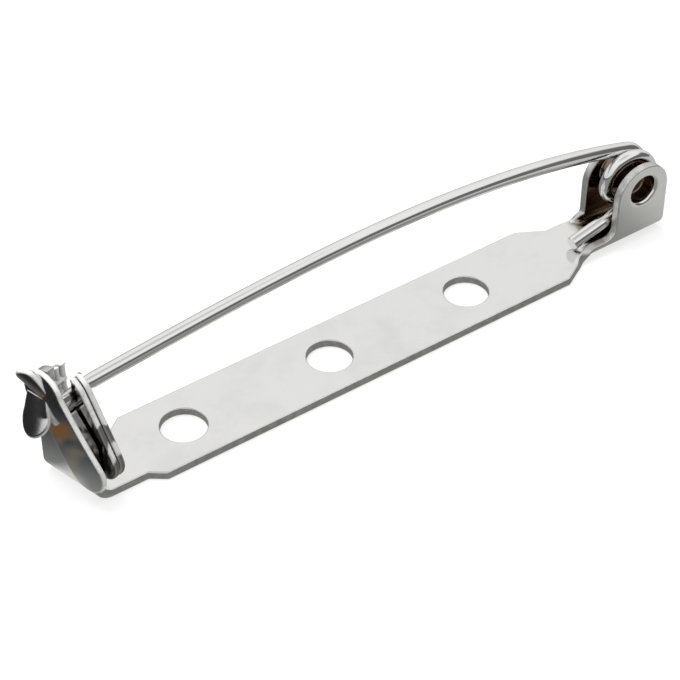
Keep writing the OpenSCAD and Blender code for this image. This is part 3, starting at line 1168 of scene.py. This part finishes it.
    def build(self, finish: BrightPlate) -> bpy.types.Object:
        """Makes the lock and puts it in the CAD lock's place.

        Args:
            finish: its plating.

        Returns:
            The finished object.
        """
        crown = np.array([[0.5, 0.4, 1.35]])
        inner = self.around(self.lever(1.5, 1.1), True)
        parts = [
            self.disc(inner, self.inner_x, 0.0),
            self.disc(inner, self.second_x, 0.0),
            self.disc(self.around(np.vstack([self.lever(1.1, 1.25), crown]), False), self.outer_x - self.plate, 0.08),
            self.barrel(),
            self.petal(Wing(angle=-95, root=-0.3, shift=0.85, reach=1.9, half=0.9, tilt=0.45, curl=0.0, cup=0.3)),
            self.petal(Wing(angle=46, root=0.4, shift=0.0, reach=2.34, half=0.54, tilt=0.2, curl=0.05, cup=0.4)),
        ]
        shell = join(parts)
        shell.points = turned(shell.points)
        made = build_mesh("turning_lock", shell, finish.material())
        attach(made, Body.LOCK.value)
        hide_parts("lock")
        return made


# ---- light and camera ----


@dataclass(frozen=True)
class MirroredRoom:
    """What polished faces mirror in the table's place: the greys, a dark corner and an amber patch of a workroom.

    Attributes:
        grey: tone under the bar.
        pale: tone past the hinge.
        slate: darker tone in front of the catch.
        brown: lighter patches in it.
        black: tone farther off on that side.
        amber: tone of the warm patch.
        bright: tone of the small bright patch under the catch.
        catch_side: X over which grey turns to slate and brown.
        hinge_side: X over which grey turns to pale.
        black_side: X over which black ends.
        patch: noise over which slate turns to brown.
        amber_place: middle of the warm patch.
        amber_ring: distance over which it ends.
        bright_place: middle of the bright patch.
        bright_ring: distance over which it ends.
    """

    grey: Colour = (0.27, 0.28, 0.265, 1.0)
    pale: Colour = (0.58, 0.58, 0.57, 1.0)
    slate: Colour = (0.04, 0.045, 0.055, 1.0)
    brown: Colour = (0.15, 0.125, 0.10, 1.0)
    black: Colour = (0.02, 0.02, 0.022, 1.0)
    amber: Colour = (0.17, 0.085, 0.025, 1.0)
    bright: Colour = (0.7, 0.7, 0.7, 1.0)
    catch_side: Stretch = (-0.020, -0.0158)
    hinge_side: Stretch = (0.019, 0.0245)
    black_side: Stretch = (-0.0222, -0.0212)
    patch: Stretch = (0.46, 0.66)
    amber_place: tuple[float, float, float] = (-0.0203, 0.0024, 0.0)
    amber_ring: Stretch = (0.0004, 0.0011)
    bright_place: tuple[float, float, float] = (-0.0158, 0.0002, 0.0)
    bright_ring: Stretch = (0.0008, 0.0021)

    def shade(self, g: Graph, place: object) -> bpy.types.NodeSocket:
        """The mirrored colour at each place on the table.

        Args:
            g: the table's graph.
            place: object coordinates in metres.

        Returns:
            The colour.
        """
        x = g.axes(place)[0]
        mottle = g.tint(g.rising(g.noise(place, 420.0, 2.0), self.patch), self.slate, self.brown)
        shade = g.tint(g.rising(x, self.hinge_side), self.grey, self.pale)
        shade = g.tint(g.falling(x, self.catch_side), shade, mottle)
        shade = g.tint(g.falling(x, self.black_side), shade, self.black)
        to_amber = g.vector("DISTANCE", place, self.amber_place)
        shade = g.tint(g.span(to_amber, *self.amber_ring, 0.9, 0.0), shade, self.amber)
        to_bright = g.vector("DISTANCE", place, self.bright_place)
        return g.tint(g.falling(to_bright, self.bright_ring), shade, self.bright)


@dataclass(frozen=True)
class Studio:
    """A pale table in a soft white tent, open and dark on the camera's side, as small bright metal is shown.

    Attributes:
        azimuth: way that the camera looks, in degrees from +Y towards +X.
        elevation: how far the camera looks down, in degrees.
        distance: from the camera to its aim, in metres.
        aim: the point that the camera looks at, in metres.
        focal_px: focal length in pixels, of a frame frame_px wide.
        frame_px: width of the photograph's frame in pixels.
        sensor: width of the camera's sensor in millimetres.
        table_half: half the table's side, in metres.
        table_drop: how far the table lies under the object, in metres.
        paper_tone: colour of the table's paper.
        paper_glow: share of the paper's white that no shadow takes away.
        dark_way: level direction of the tent's dark side.
        low_sky: colour of the tent near the table.
        high_sky: its colour high up.
        overhead_sky: its colour straight above.
        dark_sky: its colour low on the camera's side.
        seen_sky: its colour where the camera sees it past the table.
        room: what polished faces mirror in the table's place.
    """

    azimuth: float = 35.3673
    elevation: float = 41.6267
    distance: float = 0.1199648
    aim: tuple[float, float, float] = (0.0011851, 0.0007104, 0.0005)
    focal_px: float = 2231.11
    frame_px: float = 680.0
    sensor: float = 36.0
    table_half: float = 3.0
    table_drop: float = 0.00002
    paper_tone: Colour = (0.93, 0.93, 0.93, 1.0)
    paper_glow: float = 0.72
    dark_way: tuple[float, float, float] = (0.507, -0.862, 0.0)
    low_sky: Colour = (0.80, 0.81, 0.82, 1.0)
    high_sky: Colour = (0.97, 0.97, 0.965, 1.0)
    overhead_sky: Colour = (0.66, 0.66, 0.655, 1.0)
    dark_sky: Colour = (0.15, 0.145, 0.14, 1.0)
    seen_sky: Colour = (0.95, 0.95, 0.95, 1.0)
    room: MirroredRoom = MirroredRoom()

    def forward(self) -> Vector:
        """The camera's viewing direction."""
        a, e = math.radians(self.azimuth), math.radians(self.elevation)
        return Vector((math.sin(a) * math.cos(e), math.cos(a) * math.cos(e), -math.sin(e)))

    def camera(self) -> None:
        """Adds the camera at the photograph's angle, in sharp focus throughout."""
        data = bpy.data.cameras.new("camera")
        data.sensor_width = self.sensor
        data.lens = self.focal_px / self.frame_px * self.sensor
        data.clip_start = 0.001
        data.dof.use_dof = False
        made = bpy.data.objects.new("camera", data)
        made.location = Vector(self.aim) - self.forward() * self.distance
        made.rotation_euler = self.forward().to_track_quat("-Z", "Y").to_euler()
        bpy.context.scene.collection.objects.link(made)
        bpy.context.scene.camera = made

    def table(self) -> None:
        """Adds the table: plain and pale to the eye, while polished faces mirror the room's tones in its place."""
        mesh = bpy.data.meshes.new("table")
        far = self.table_half
        mesh.from_pydata([(-far, -far, 0), (far, -far, 0), (far, far, 0), (-far, far, 0)], [], [(0, 1, 2, 3)])
        made = bpy.data.objects.new("table", mesh)
        made.location.z = -self.table_drop
        bpy.context.scene.collection.objects.link(made)
        paper, g = bare_material("table_paper")
        place = g.node("ShaderNodeTexCoord").outputs["Object"]
        paper_lit = g.node("ShaderNodeBsdfDiffuse", {"Color": self.paper_tone}).outputs[0]
        glow = g.node("ShaderNodeEmission", {"Color": (1.0, 1.0, 1.0, 1.0)}).outputs[0]
        white = g.node("ShaderNodeMixShader", {0: self.paper_glow, 1: paper_lit, 2: glow}).outputs[0]
        room = g.node("ShaderNodeEmission", {"Color": self.room.shade(g, place)}).outputs[0]
        mirrored = g.node("ShaderNodeLightPath").outputs["Is Glossy Ray"]
        surface = g.node("ShaderNodeMixShader", {0: mirrored, 1: white, 2: room}).outputs[0]
        g.node("ShaderNodeOutputMaterial", {"Surface": surface})
        mesh.materials.append(paper)

    def tent(self) -> None:
        """Lights the scene from all round: bright above and behind, greyer overhead, dark low on the camera's side."""
        world = bpy.data.worlds.new("tent")
        world.use_nodes = True
        world.node_tree.nodes.clear()
        g = Graph(world.node_tree)
        way = g.node("ShaderNodeTexCoord").outputs["Generated"]
        height = g.axes(way)[2]
        towards = g.rising(g.vector("DOT_PRODUCT", way, self.dark_way), (0.35, 0.6))
        dark = g.times(towards, g.falling(height, (0.49, 0.63)))
        sky = g.tint(g.rising(height, (0.1, 0.85)), self.low_sky, self.high_sky)
        sky = g.tint(g.rising(height, (0.90, 0.985)), sky, self.overhead_sky)
        seen = g.node("ShaderNodeLightPath").outputs["Is Camera Ray"]
        colour = g.tint(seen, g.tint(dark, sky, self.dark_sky), self.seen_sky)
        shade = g.node("ShaderNodeBackground", {"Color": colour, "Strength": 1.0})
        g.node("ShaderNodeOutputWorld", {"Surface": shade.outputs[0]})
        bpy.context.scene.world = world

    def lamp(self, name: str, place: tuple[float, float, float], size: float, power: float) -> None:
        """Adds a soft square lamp aimed at the object, that polished faces do not mirror.

        Args:
            name: the lamp's name.
            place: its place in metres.
            size: side of its face in metres.
            power: its power in watts.
        """
        data = bpy.data.lights.new(name, "AREA")
        data.shape, data.size, data.energy = "SQUARE", size, power
        made = bpy.data.objects.new(name, data)
        made.location = place
        made.visible_glossy = False
        made.rotation_euler = (Vector(self.aim) - Vector(place)).to_track_quat("-Z", "Y").to_euler()
        bpy.context.scene.collection.objects.link(made)

    def build(self) -> None:
        """Sets up the camera, the table and the light."""
        self.camera()
        self.table()
        self.tent()
        self.lamp("overhead", (-0.05, 0.08, 0.45), 0.3, 2.2)
        bpy.context.scene.view_settings.view_transform = "Standard"


def main() -> None:
    """Builds the studio and the pieces in order."""
    logging.basicConfig(level=logging.INFO, format="%(name)s: %(message)s")
    Studio().build()
    # The lock's plating has near-white, less metallic cut edges: a painted highlight along its rims.
    lock_plate_painted_rims = BrightPlate(
        "nickel_plate_lock", edge_tone=(0.93, 0.93, 0.92, 1.0), edge_shine=0.4, roughness=0.1, edge_roughness=0.4
    )
    for made in (
        StampedBase().build(BrightPlate("nickel_plate")),
        PinWire().build(DrawnWire("drawn_wire")),
        SafetyLock().build(lock_plate_painted_rims),
    ):
        LOG.info("%s: %d points, %d faces", made.name, len(made.data.vertices), len(made.data.polygons))


if __name__ == "__main__":
    main()
